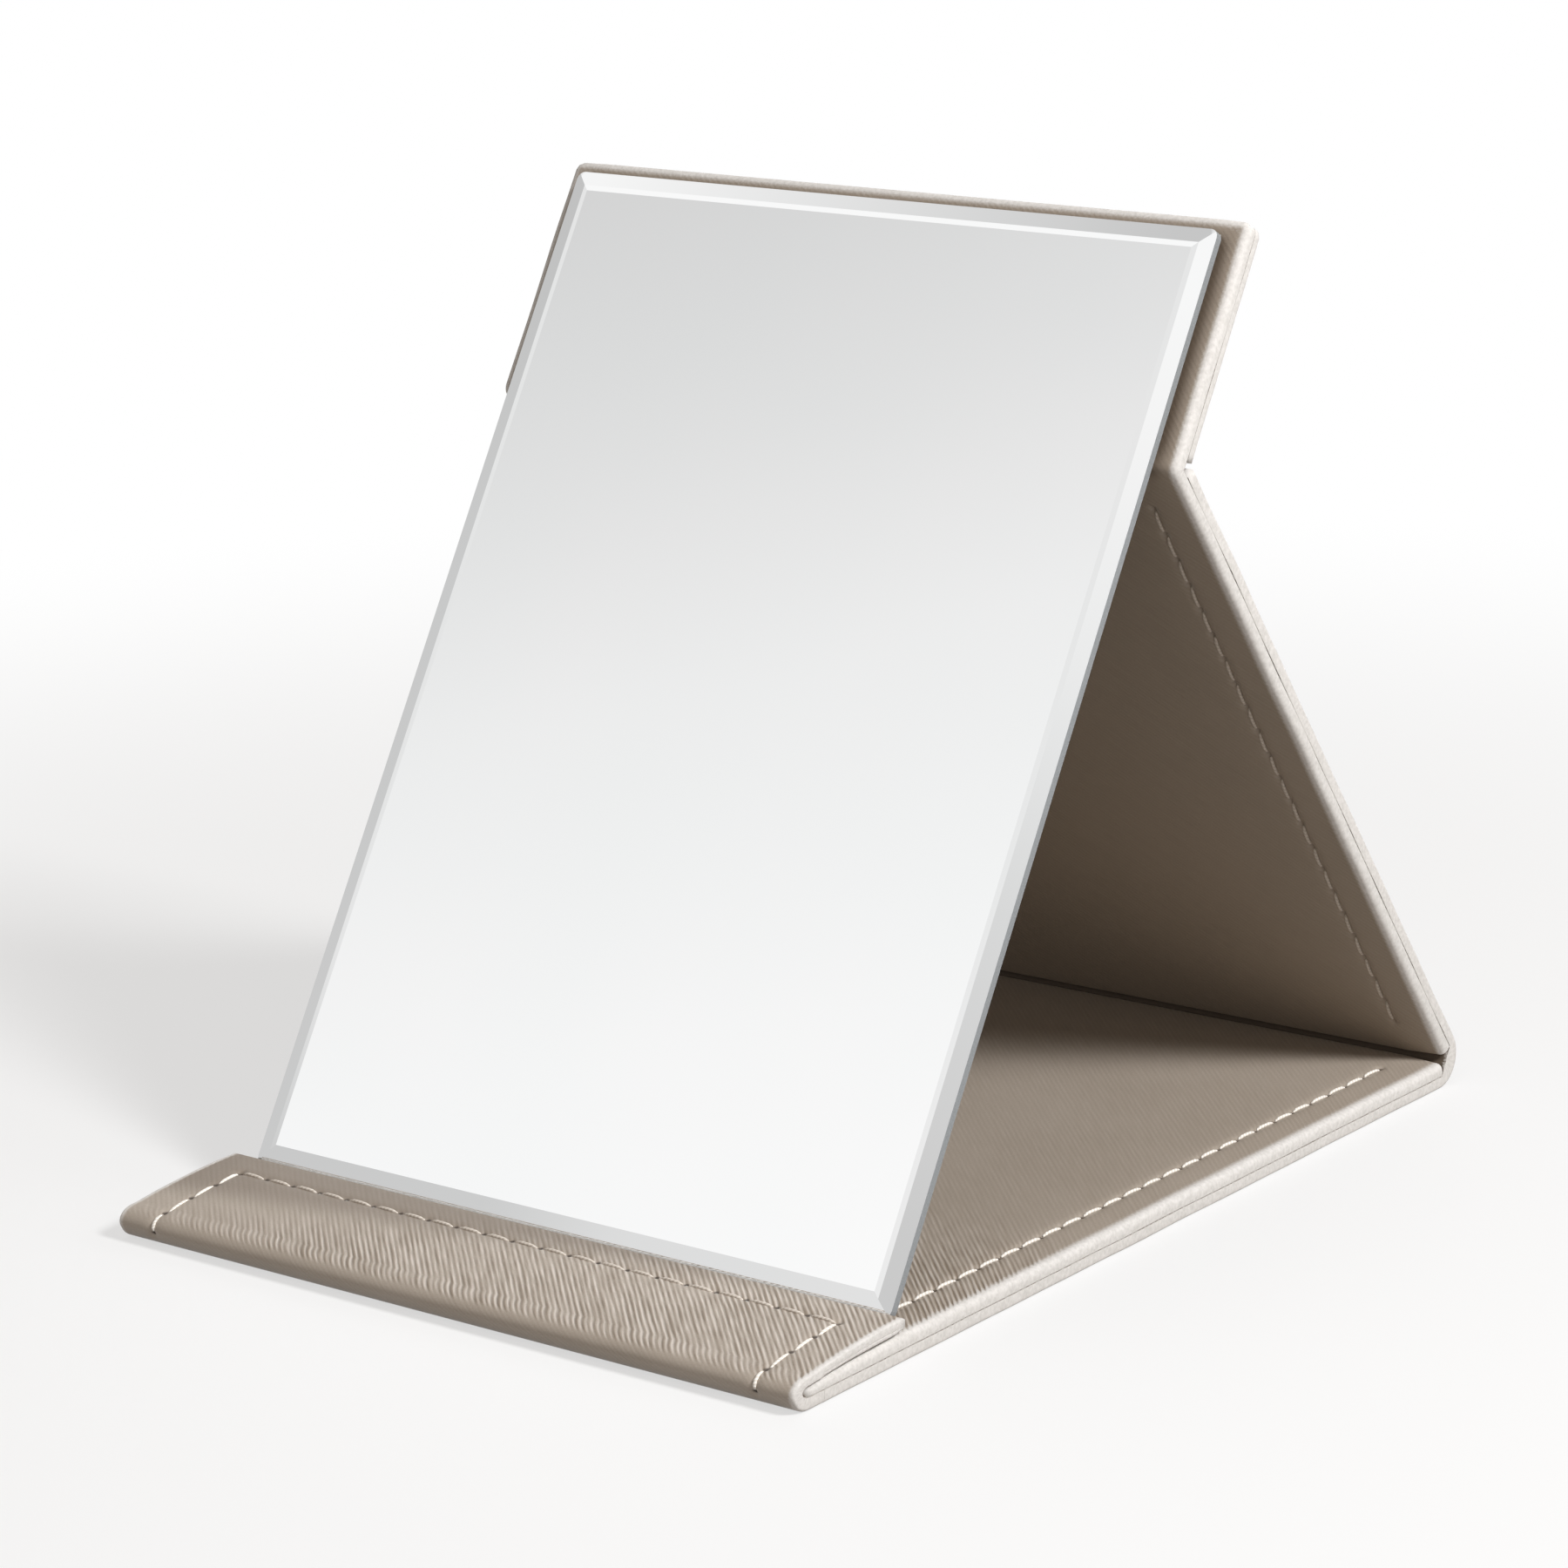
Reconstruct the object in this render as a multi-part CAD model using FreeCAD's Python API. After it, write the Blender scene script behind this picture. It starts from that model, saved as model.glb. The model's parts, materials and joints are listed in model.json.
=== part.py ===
import FreeCAD, Part
import math
import os

# Folding makeup mirror: a bevelled glass on the top strip of a sewn cover that folds into a stand.
# X runs across the glass, Y from the front of the base to its rear, Z up. All lengths in mm.

# Glass and what is stuck to its back
glass_width = 120.0
glass_height = 165.0
glass_thickness = 2.0
glass_side_thickness = 1.2
glass_bevel_width = 3.3
glass_corner_radius = 1.5
silvering_thickness = 0.1
silvering_inset = 0.3
film_thickness = 0.2
film_inset = 0.5
tape_thickness = 0.5
tape_width = 14.0
tape_side_inset = 8.0
tape_edge_inset = 3.0

# Sewn cover: two plies with a thin board between them
cover_overhang = 3.4
cover_top_overhang = 2.7
ply_thickness = 2.0
stiffener_thickness = 0.3
stiffener_inset = 1.5
lining_setback = 0.8
strip_length = 38.2
cover_corner_radius = 1.5

# How it stands
lean_angle = 59.2
leg_angle = 54.0
flap_length = 25.1
foot_gap = 0.25
flap_stop_gap = 0.3
flap_lift_gap = 0.25
crease_gap = 0.3

# Folds
rear_fold_radius = 4.8
fold_tail = 3.0
crease_tail = 2.5

# Flap and its closure
flap_outer_thickness = 1.3
magnet_length = 12.0
magnet_width = 6.0
magnet_thickness = 0.8
magnet_spacing = 70.0
magnet_edge_distance = 3.4
magnet_clearance = 0.1
keeper_length = 14.0
keeper_width = 9.0
keeper_drop = 10.0
keeper_clearance = 0.2

# Stitching
seam_margin = 6.9
flap_seam_margin = 6.2
stitch_pitch = 5.4
stitch_length_share = 0.8
stitch_width = 0.9
stitch_height = 0.35
seam_end_margin = 7.0
foot_seam_margin = 4.5
groove_width = 1.5
groove_depth = 0.45
overrun = 1.0

# How closely an edge must follow the sheet's thickness to count as a through edge
near_one_share = 0.99

# Derived sizes
cover_width = glass_width + 2 * cover_overhang
panel_thickness = 2 * ply_thickness + stiffener_thickness
nose_height = panel_thickness + flap_lift_gap + ply_thickness
nose_radius = nose_height / 2
flap_run = flap_length - nose_radius
crease_radius = ply_thickness + stiffener_thickness
film_level = crease_radius + tape_thickness
silvering_level = film_level + film_thickness
glass_level = silvering_level + silvering_thickness
glass_front_level = glass_level + glass_thickness
glass_top = strip_length - cover_top_overhang
crease_rise = glass_height - glass_top
stitch_length = stitch_pitch * stitch_length_share

X_AXIS = FreeCAD.Vector(1, 0, 0)


def sine(angle):
    return math.sin(math.radians(angle))


def cosine(angle):
    return math.cos(math.radians(angle))


# Hinge axes, as (y, z) with the front of the nose at y = 0 and the table at z = 0
front_axis = (nose_radius, nose_radius)
crease_axis = (
    flap_length + flap_stop_gap + crease_rise * cosine(lean_angle) + glass_front_level * sine(lean_angle),
    panel_thickness + foot_gap + crease_rise * sine(lean_angle) - glass_level * cosine(lean_angle),
)
axis_offset = ply_thickness - rear_fold_radius
leg_run = (crease_axis[1] + axis_offset * cosine(leg_angle) - rear_fold_radius) / sine(leg_angle)
rear_axis = (
    crease_axis[0] + axis_offset * sine(leg_angle) + leg_run * cosine(leg_angle),
    rear_fold_radius,
)
crease_turn = 180 - lean_angle - leg_angle
half_turn = crease_turn / 2
crease_setback = (ply_thickness * sine(half_turn) + crease_gap / 2) / cosine(half_turn)
overall_depth = rear_axis[0] + rear_fold_radius
origin_shift = -overall_depth / 2


def stand_up(shape, axis, angle):
    """Turn a panel from its own flat frame about X and set its hinge axis in the standing frame."""
    spot = FreeCAD.Vector(0, axis[0] + origin_shift, axis[1])
    placed = shape.copy()
    placed.Placement = FreeCAD.Placement(spot, FreeCAD.Rotation(X_AXIS, angle))
    return placed


def on_base(shape):
    return stand_up(shape, (0, 0), 0)


def on_flap(shape):
    return stand_up(shape, front_axis, 0)


def on_leg(shape):
    return stand_up(shape, rear_axis, 180 - leg_angle)


def on_mirror(shape):
    return stand_up(shape, crease_axis, lean_angle)


def sheet(width, start, end, low, high):
    """A flat sheet centred on X, from start to end along the panel and from low to high through it."""
    corner = FreeCAD.Vector(-width / 2, start, low)
    return Part.makeBox(width, end - start, high - low, corner)


def rounded(shape, radius, keep):
    """Round the through edges of a sheet whose middle passes the test keep(x, y)."""
    edges = []
    for edge in shape.Edges:
        middle = edge.CenterOfMass
        upright = abs(edge.tangentAt(edge.FirstParameter).z) > near_one_share
        if upright and keep(middle.x, middle.y):
            edges.append(edge)
    return shape.makeFillet(radius, edges)


def polar(radius, angle, tangent_step):
    """A point on a circle about the hinge axis, moved along the tangent by tangent_step."""
    y = radius * cosine(angle) - tangent_step * sine(angle)
    z = radius * sine(angle) + tangent_step * cosine(angle)
    return FreeCAD.Vector(-cover_width / 2, y, z)


def bend(inner_radius, outer_radius, first_angle, last_angle, first_tail, last_tail):
    """A ply bent about a hinge axis, with a straight tail at each end."""
    middle_angle = (first_angle + last_angle) / 2
    outer_arc = Part.Arc(
        polar(outer_radius, first_angle, 0),
        polar(outer_radius, middle_angle, 0),
        polar(outer_radius, last_angle, 0),
    )
    inner_arc = Part.Arc(
        polar(inner_radius, last_angle, 0),
        polar(inner_radius, middle_angle, 0),
        polar(inner_radius, first_angle, 0),
    )
    first_outer = polar(outer_radius, first_angle, -first_tail)
    last_outer = polar(outer_radius, last_angle, last_tail)
    last_inner = polar(inner_radius, last_angle, last_tail)
    first_inner = polar(inner_radius, first_angle, -first_tail)
    edges = [
        Part.LineSegment(first_outer, polar(outer_radius, first_angle, 0)).toShape(),
        outer_arc.toShape(),
        Part.LineSegment(polar(outer_radius, last_angle, 0), last_outer).toShape(),
        Part.LineSegment(last_outer, last_inner).toShape(),
        Part.LineSegment(last_inner, polar(inner_radius, last_angle, 0)).toShape(),
        inner_arc.toShape(),
        Part.LineSegment(polar(inner_radius, first_angle, 0), first_inner).toShape(),
        Part.LineSegment(first_inner, first_outer).toShape(),
    ]
    return Part.Face(Part.Wire(edges)).extrude(FreeCAD.Vector(cover_width, 0, 0))


def stitch(along_x, x, y, level, side):
    """One stitch: a thread lying on a face, flat below and round above. side is +1 up or -1 down."""
    half = stitch_width / 2
    left = FreeCAD.Vector(0, -half, 0)
    right = FreeCAD.Vector(0, half, 0)
    crown = FreeCAD.Vector(0, 0, side * stitch_height)
    edges = [Part.Arc(left, crown, right).toShape(), Part.LineSegment(right, left).toShape()]
    bar = Part.Face(Part.Wire(edges)).extrude(FreeCAD.Vector(stitch_length, 0, 0))
    bar.translate(FreeCAD.Vector(-stitch_length / 2, 0, 0))
    if not along_x:
        bar.rotate(FreeCAD.Vector(0, 0, 0), FreeCAD.Vector(0, 0, 1), 90)
    bar.translate(FreeCAD.Vector(x, y, level))
    return bar


def places(start, end):
    """Evenly pitched stitch centres between two ends of a seam."""
    count = max(1, int((end - start) / stitch_pitch))
    first = (start + end) / 2 - (count - 1) * stitch_pitch / 2
    return [first + index * stitch_pitch for index in range(count)]


def side_rows(start, end, level, side):
    row_x = cover_width / 2 - seam_margin
    rows = []
    for x in (-row_x, row_x):
        rows.extend(stitch(False, x, y, level, side) for y in places(start, end))
    return rows


def cross_row(y, level, side):
    row_x = cover_width / 2 - seam_margin
    inner_end = row_x - stitch_width
    return [stitch(True, x, y, level, side) for x in places(-inner_end, inner_end)]


def side_grooves(start, end, low, high):
    row_x = cover_width / 2 - seam_margin
    grooves = []
    for x in (-row_x, row_x):
        groove = sheet(groove_width, start, end, low, high)
        groove.translate(FreeCAD.Vector(x, 0, 0))
        grooves.append(groove)
    return grooves


def pair(length, width, thickness, spacing, y, level):
    """Two like flat pieces, one each side of the middle."""
    blocks = []
    for x in (-spacing / 2, spacing / 2):
        block = sheet(length, y - width / 2, y + width / 2, level, level + thickness)
        block.translate(FreeCAD.Vector(x, 0, 0))
        blocks.append(block)
    return blocks


parts = {}

# Base: outer ply on the table, board, lining on top
base_start = front_axis[0] + fold_tail
base_end = rear_axis[0] - fold_tail
base_groove_start = base_start + seam_end_margin
base_groove_end = base_end - seam_end_margin
base_outer = sheet(cover_width, base_start, base_end, 0, ply_thickness)
for groove in side_grooves(base_groove_start, base_groove_end, -overrun, groove_depth):
    base_outer = base_outer.cut(groove)
parts["base_outer_ply"] = on_base(base_outer)
parts["base_stiffener"] = on_base(sheet(
    cover_width - 2 * stiffener_inset,
    front_axis[0] + stiffener_inset,
    rear_axis[0] - stiffener_inset,
    ply_thickness,
    ply_thickness + stiffener_thickness,
))
parts["base_lining_ply"] = on_base(sheet(
    cover_width,
    front_axis[0] + lining_setback,
    rear_axis[0] - lining_setback,
    ply_thickness + stiffener_thickness,
    panel_thickness,
))
base_seam_start = flap_length + flap_stop_gap + foot_seam_margin
base_seam_end = rear_axis[0] - seam_end_margin
base_threads = side_rows(base_seam_start, base_seam_end, panel_thickness, 1)
base_threads += side_rows(base_groove_start, base_groove_end, groove_depth, -1)
parts["base_seam_thread"] = on_base(Part.makeCompound(base_threads))

# Flap: folded back over the front of the base, with magnets closed in by its lining
flap_level = nose_radius - flap_outer_thickness
flap_lining_level = nose_radius - ply_thickness
flap_outer = sheet(cover_width, fold_tail, flap_run, flap_level, nose_radius)
magnet_y = flap_run - magnet_edge_distance - magnet_width / 2
for pocket in pair(
    magnet_length + 2 * magnet_clearance,
    magnet_width + 2 * magnet_clearance,
    magnet_thickness + magnet_clearance,
    magnet_spacing,
    magnet_y,
    flap_level,
):
    flap_outer = flap_outer.cut(pocket)
parts["flap_outer_ply"] = on_flap(flap_outer)
magnets = pair(magnet_length, magnet_width, magnet_thickness, magnet_spacing, magnet_y, flap_level)
parts["flap_magnets"] = on_flap(Part.makeCompound(magnets))
flap_row_y = flap_run - flap_seam_margin
flap_lining = sheet(cover_width, fold_tail, flap_run, flap_lining_level, flap_level)
flap_groove_top = flap_lining_level + groove_depth
flap_groove_end = flap_row_y + groove_width / 2
flap_groove_low = flap_lining_level - overrun
for groove in side_grooves(fold_tail, flap_groove_end, flap_groove_low, flap_groove_top):
    flap_lining = flap_lining.cut(groove)
cross_groove_width = cover_width - 2 * seam_margin
cross_groove = sheet(
    cross_groove_width,
    flap_row_y - groove_width / 2,
    flap_groove_end,
    flap_groove_low,
    flap_groove_top,
)
flap_lining = flap_lining.cut(cross_groove)
parts["flap_lining_ply"] = on_flap(flap_lining)
flap_side_end = flap_row_y - stitch_width / 2
flap_threads = []
for level, side in ((nose_radius, 1), (flap_groove_top, -1)):
    flap_threads += side_rows(fold_tail, flap_side_end, level, side)
    flap_threads += cross_row(flap_row_y, level, side)
parts["flap_seam_thread"] = on_flap(Part.makeCompound(flap_threads))

# Leg: leans from the rear fold up to the crease
leg_outer_level = -rear_fold_radius
leg_board_level = leg_outer_level + ply_thickness
leg_lining_level = leg_board_level + stiffener_thickness
leg_inner_level = leg_outer_level + panel_thickness
leg_outer_end = leg_run - crease_setback
leg_outer = sheet(cover_width, fold_tail, leg_outer_end, leg_outer_level, leg_board_level)
parts["leg_outer_ply"] = on_leg(leg_outer)
parts["leg_stiffener"] = on_leg(sheet(
    cover_width - 2 * stiffener_inset,
    stiffener_inset,
    leg_run - stiffener_inset,
    leg_board_level,
    leg_lining_level,
))
leg_lining_end = leg_run - crease_tail
leg_lining = sheet(cover_width, lining_setback, leg_lining_end, leg_lining_level, leg_inner_level)
parts["leg_lining_ply"] = on_leg(leg_lining)
leg_seam_end = leg_run - seam_end_margin
leg_threads = side_rows(seam_end_margin, leg_seam_end, leg_inner_level, 1)
leg_threads += side_rows(seam_end_margin, leg_seam_end, leg_outer_level, -1)
parts["leg_seam_thread"] = on_leg(Part.makeCompound(leg_threads))

# Top strip: carries the glass, with steel plates let into its board for the magnets
strip_outer = sheet(cover_width, crease_setback, strip_length, -ply_thickness, 0)
strip_lining = sheet(cover_width, crease_tail, strip_length, stiffener_thickness, crease_radius)


def at_strip_top(x, y):
    return y > strip_length - cover_corner_radius


parts["strip_outer_ply"] = on_mirror(rounded(strip_outer, cover_corner_radius, at_strip_top))
parts["strip_lining_ply"] = on_mirror(rounded(strip_lining, cover_corner_radius, at_strip_top))
keeper_y = strip_length - keeper_drop
strip_board = sheet(
    cover_width - 2 * stiffener_inset,
    stiffener_inset,
    strip_length - stiffener_inset,
    0,
    stiffener_thickness,
)
for window in pair(
    keeper_length + 2 * keeper_clearance,
    keeper_width + 2 * keeper_clearance,
    stiffener_thickness,
    magnet_spacing,
    keeper_y,
    0,
):
    strip_board = strip_board.cut(window)
parts["strip_stiffener"] = on_mirror(strip_board)
keepers = pair(keeper_length, keeper_width, stiffener_thickness, magnet_spacing, keeper_y, 0)
parts["strip_keeper_plates"] = on_mirror(Part.makeCompound(keepers))
strip_row_y = strip_length - seam_margin
strip_threads = side_rows(seam_end_margin, strip_row_y - stitch_width / 2, -ply_thickness, -1)
strip_threads += cross_row(strip_row_y, -ply_thickness, -1)
parts["strip_seam_thread"] = on_mirror(Part.makeCompound(strip_threads))

# Mirror: tape, film, silvering and the bevelled glass
tapes = []
for tape_start in (tape_edge_inset, glass_top - tape_edge_inset - tape_width):
    tapes.append(sheet(
        glass_width - 2 * tape_side_inset,
        tape_start,
        tape_start + tape_width,
        crease_radius,
        film_level,
    ))
parts["mirror_mounting_tape"] = on_mirror(Part.makeCompound(tapes))
parts["mirror_backing_film"] = on_mirror(sheet(
    glass_width - 2 * film_inset,
    film_inset - crease_rise,
    glass_top - film_inset,
    film_level,
    silvering_level,
))
parts["mirror_silvering"] = on_mirror(sheet(
    glass_width - 2 * silvering_inset,
    silvering_inset - crease_rise,
    glass_top - silvering_inset,
    silvering_level,
    glass_level,
))


def outline(inset, level):
    """The glass outline, drawn in by inset, as a closed wire at one level."""
    half = glass_width / 2 - inset
    low = inset - crease_rise
    high = glass_top - inset
    corners = [(-half, low), (half, low), (half, high), (-half, high), (-half, low)]
    return Part.makePolygon([FreeCAD.Vector(x, y, level) for x, y in corners])


bevel_level = glass_level + glass_side_thickness
plate = sheet(glass_width, -crease_rise, glass_top, glass_level, glass_front_level)
plate = rounded(plate, glass_corner_radius, lambda x, y: True)
slope = Part.makeLoft([outline(0, bevel_level), outline(glass_bevel_width, glass_front_level)], True, True)
rim = sheet(glass_width, -crease_rise, glass_top, glass_level, bevel_level)
parts["mirror_glass"] = on_mirror(plate.common(rim.fuse(slope)).removeSplitter())

# Folds: the plies that bend between the panels
front_bend = bend(nose_radius - ply_thickness, nose_radius, 90, 270, fold_tail, fold_tail)
parts["front_fold_ply"] = stand_up(front_bend, front_axis, 0)
rear_inner_radius = rear_fold_radius - ply_thickness
rear_bend = bend(rear_inner_radius, rear_fold_radius, -90, 90 - leg_angle, fold_tail, fold_tail)
parts["rear_fold_ply"] = stand_up(rear_bend, rear_axis, 0)
crease_first = lean_angle + 90
crease_last = crease_first + crease_turn
crease_bend = bend(stiffener_thickness, crease_radius, crease_first, crease_last, crease_tail, crease_tail)
parts["crease_fold_ply"] = stand_up(crease_bend, crease_axis, 0)

os.makedirs("parts", exist_ok=True)
for name, shape in parts.items():
    shape.exportStep("parts/" + name + ".step")
    print(name, len(shape.Solids), "solids", round(shape.Volume, 2), "valid", shape.isValid())

for name, axis in (("front fold", front_axis), ("rear fold", rear_axis), ("crease", crease_axis)):
    print(name, "axis y", round(axis[0] + origin_shift, 4), "z", round(axis[1], 4))
print("crease turn", round(crease_turn, 3), "rear opening", round(180 - leg_angle, 3))
print("overall depth", round(overall_depth, 3), "leg run", round(leg_run, 3))
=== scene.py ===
import cmath
import json
import math

import bmesh
import bpy
from mathutils import Matrix, Vector, noise


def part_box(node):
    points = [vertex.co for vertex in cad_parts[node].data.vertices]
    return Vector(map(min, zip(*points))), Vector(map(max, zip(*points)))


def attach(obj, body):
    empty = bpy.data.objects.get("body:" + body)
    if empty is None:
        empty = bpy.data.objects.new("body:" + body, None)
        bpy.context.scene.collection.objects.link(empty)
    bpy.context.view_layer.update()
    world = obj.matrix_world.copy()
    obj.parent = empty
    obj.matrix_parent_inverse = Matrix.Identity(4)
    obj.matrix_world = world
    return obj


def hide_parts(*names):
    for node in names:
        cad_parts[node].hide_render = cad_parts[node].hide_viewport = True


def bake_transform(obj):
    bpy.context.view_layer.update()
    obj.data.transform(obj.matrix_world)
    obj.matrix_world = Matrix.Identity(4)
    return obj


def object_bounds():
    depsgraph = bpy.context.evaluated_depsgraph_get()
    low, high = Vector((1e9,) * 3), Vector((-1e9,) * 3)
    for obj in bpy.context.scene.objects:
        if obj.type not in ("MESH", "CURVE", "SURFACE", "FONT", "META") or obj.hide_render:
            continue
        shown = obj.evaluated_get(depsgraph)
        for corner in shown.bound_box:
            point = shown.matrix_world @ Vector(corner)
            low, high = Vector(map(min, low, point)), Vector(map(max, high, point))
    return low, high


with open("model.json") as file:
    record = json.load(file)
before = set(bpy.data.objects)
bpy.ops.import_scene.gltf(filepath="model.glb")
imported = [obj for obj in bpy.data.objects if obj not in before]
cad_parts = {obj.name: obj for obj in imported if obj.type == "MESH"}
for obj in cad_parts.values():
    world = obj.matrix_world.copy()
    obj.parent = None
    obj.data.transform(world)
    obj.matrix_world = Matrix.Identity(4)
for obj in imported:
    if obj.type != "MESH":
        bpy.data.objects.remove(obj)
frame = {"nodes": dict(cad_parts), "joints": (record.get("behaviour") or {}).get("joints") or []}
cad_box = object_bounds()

# Boards: thin greyboard glued between the two plies of the base, the leg and the strip to keep them flat.
# They stop short of the edges, so only a dark line shows where two plies meet.
MM = 0.001


class Wire:
    """A value running through a material's nodes. Sums written on it become Math nodes."""

    def __init__(self, tree, socket=None):
        self.tree = tree
        self.socket = socket

    def node(self, kind, settings, sockets, output=0):
        """Add a node: its settings first, then the values or wires of its sockets."""
        made = self.tree.nodes.new(kind)
        for key, value in settings.items():
            if key == "stops":
                ramp = made.color_ramp.elements
                while len(ramp) < len(value):
                    ramp.new(1.0)
                for element, (position, colour) in zip(ramp, value):
                    element.position = position
                    element.color = colour
            else:
                setattr(made, key, value)
        for key, value in sockets.items():
            if isinstance(value, Wire):
                self.tree.links.new(value.socket, made.inputs[key])
            else:
                made.inputs[key].default_value = value
        return Wire(self.tree, made.outputs[output] if made.outputs else None)

    def math(self, operation, *values):
        return self.node("ShaderNodeMath", {"operation": operation}, dict(enumerate(values)))

    def __add__(self, other):
        return self.math("ADD", self, other)

    def __sub__(self, other):
        return self.math("SUBTRACT", self, other)

    def __rsub__(self, other):
        return self.math("SUBTRACT", other, self)

    def __mul__(self, other):
        return self.math("MULTIPLY", self, other)

    def __truediv__(self, other):
        return self.math("DIVIDE", self, other)

    __radd__ = __add__
    __rmul__ = __mul__

    def wave(self):
        """A smooth wave between 0 and 1 that repeats each time this wire grows by 1."""
        return self.math("SINE", self * math.tau) * 0.5 + 0.5

    def ease(self, low, high):
        """0 below low, 1 above high, and smooth between them."""
        limits = {"Value": self, "From Min": low, "From Max": high}
        return self.node("ShaderNodeMapRange", {"interpolation_type": "SMOOTHSTEP"}, limits)

    def axis(self, name):
        """One number of a place or a direction: X, Y or Z."""
        return self.node("ShaderNodeSeparateXYZ", {}, {"Vector": self}, name)

    def painted(self, name, output):
        """What a mesh carries on its points under a name."""
        return self.node("ShaderNodeAttribute", {"attribute_name": name}, {}, output)

    def speckle(self, size, detail=2.0):
        """Cloudy noise whose clouds are about size metres across. Reads this wire as a place.

        Most of its values lie between 0.3 and 0.7.
        """
        sockets = {"Vector": self, "Scale": 1 / size, "Detail": detail}
        return self.node("ShaderNodeTexNoise", {}, sockets)

    def tints(self, *stops):
        """Colours by this wire's value."""
        return self.node("ShaderNodeValToRGB", {"stops": stops}, {"Fac": self})

    def greys(self, *stops):
        """Greys, from 0 to 255, by this wire's value."""
        return self.tints(*((position, tint(grey, grey, grey)) for position, grey in stops))

    def flecked(self, dark, light):
        """From the dark colour to the light one over the values that most of a speckle has."""
        return self.tints((0.3, dark), (0.7, light))

    def mixed(self, first, second):
        """From the first colour at 0 to the second at 1."""
        return self.node("ShaderNodeMix", {"data_type": "RGBA"}, {0: self, 6: first, 7: second}, 2)

    def bump(self, height):
        """A surface normal from this wire as a relief, height metres tall."""
        return self.node("ShaderNodeBump", {}, {"Height": self, "Distance": height})


def tint(red, green, blue):
    """A colour as seen on a screen, 0 to 255, for the sockets."""
    def part(value):
        share = value / 255
        return share / 12.92 if share <= 0.04045 else ((share + 0.055) / 1.055) ** 2.4
    return part(red), part(green), part(blue), 1.0


def new_finish(name):
    """An empty material and a wire to start its nodes from."""
    material = bpy.data.materials.new(name)
    material.use_nodes = True
    material.node_tree.nodes.clear()
    return material, Wire(material.node_tree)


def close_finish(wire, **sockets):
    """End a material in one Principled shader. A socket's spaces are written as underscores."""
    named = {key.replace("_", " "): value for key, value in sockets.items()}
    shader = wire.node("ShaderNodeBsdfPrincipled", {}, named)
    wire.node("ShaderNodeOutputMaterial", {}, {"Surface": shader})


def object_place(wire):
    return wire.node("ShaderNodeTexCoord", {}, {}, "Object")


def dress(node, finish):
    """Give a CAD node's own object a finish."""
    slots = frame["nodes"][node].data.materials
    slots.clear()
    slots.append(finish)


greyboard, start = new_finish("greyboard")
place = object_place(start)
pulp = place.speckle(size=1.6 * MM, detail=5.0)
close_finish(
    start,
    Base_Color=pulp.flecked(tint(112, 96, 80), tint(146, 130, 112)),
    Roughness=0.92,
    Normal=pulp.bump(height=0.05 * MM),
)
for node in ("base_stiffener", "leg_stiffener", "strip_stiffener"):
    dress(node, greyboard)

# Rear cover: one outer ply of coated leathercloth that lies under the base, turns up round the rear fold
# and backs the leg. Its edges are cut raw, so the pale backing shows below a thin taupe coat.
hinges = {joint["name"]: joint for joint in frame["joints"]}


def hinge_spot(name):
    """A hinge axis in the side view, as y + z i."""
    spot = hinges[name]["pos_m"]
    return complex(spot[1], spot[2])


rear_axis = hinge_spot("rear_fold")
front_axis = hinge_spot("flap_fold")
crease_axis = hinge_spot("crease_fold")
rear_turn = math.radians(hinges["rear_fold"]["range_deg"][1])
crease_turn = math.radians(hinges["crease_fold"]["range_deg"][1])
leg_heading = cmath.exp(1j * rear_turn)
strip_heading = leg_heading * cmath.exp(-1j * crease_turn)
leg_run = ((crease_axis - rear_axis) / leg_heading).real

outer_low, outer_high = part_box("base_outer_ply")
lining_low, lining_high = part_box("base_lining_ply")
flap_low, flap_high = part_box("flap_outer_ply")
ply = outer_high.z - outer_low.z
half_width = (outer_high.x - outer_low.x) / 2
rear_radius = rear_axis.imag
nose_radius = front_axis.imag

# Seams and edges, alike on every ply
seam_margin = 6.9 * MM
stitch_pitch = 5.4 * MM
seam_x = half_width - seam_margin
channel_depth = 0.3 * MM
channel_width = 0.75 * MM
floor_channel_depth = 0.62 * MM
needle_hole_depth = 0.45 * MM
needle_hole_radius = 0.42 * MM
face_rounding = 1.0 * MM
crisp_rounding = 0.5 * MM
back_rounding = 0.05 * MM
rim_step = 1.4 * MM
fine_step = 0.45 * MM
coarse_step = 6.0 * MM
seam_reach = 2.4 * MM
seam_steps = [share * MM for share in (-2.0, -1.2, -0.65, -0.3, 0.0, 0.3, 0.65, 1.2, 2.0)]
edge_wander = 0.16 * MM
edge_wander_length = 14 * MM
edge_wander_steepness = 8
facing_up = 0.5
nothing = 1e-7

# The soft front fold, pressed flatter and squarer than a half round
nose_squeeze = 0.36
nose_push = 1.2
nose_squareness = 0.8


def slumped(spot):
    """Press the layers above the outer ply together towards the nose, as the soft fold lies."""
    share = min(max((flap_high.y - spot.real) / (flap_high.y - front_axis.real), 0), 1)
    above = max(spot.imag - ply, 0)
    lowered = spot.imag - nose_squeeze * share * share * above
    forward = max(front_axis.real - spot.real, 0) / nose_radius
    if forward == 0:
        return complex(spot.real, lowered)
    return complex(front_axis.real - nose_radius * nose_push * forward ** nose_squareness, lowered)


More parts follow.
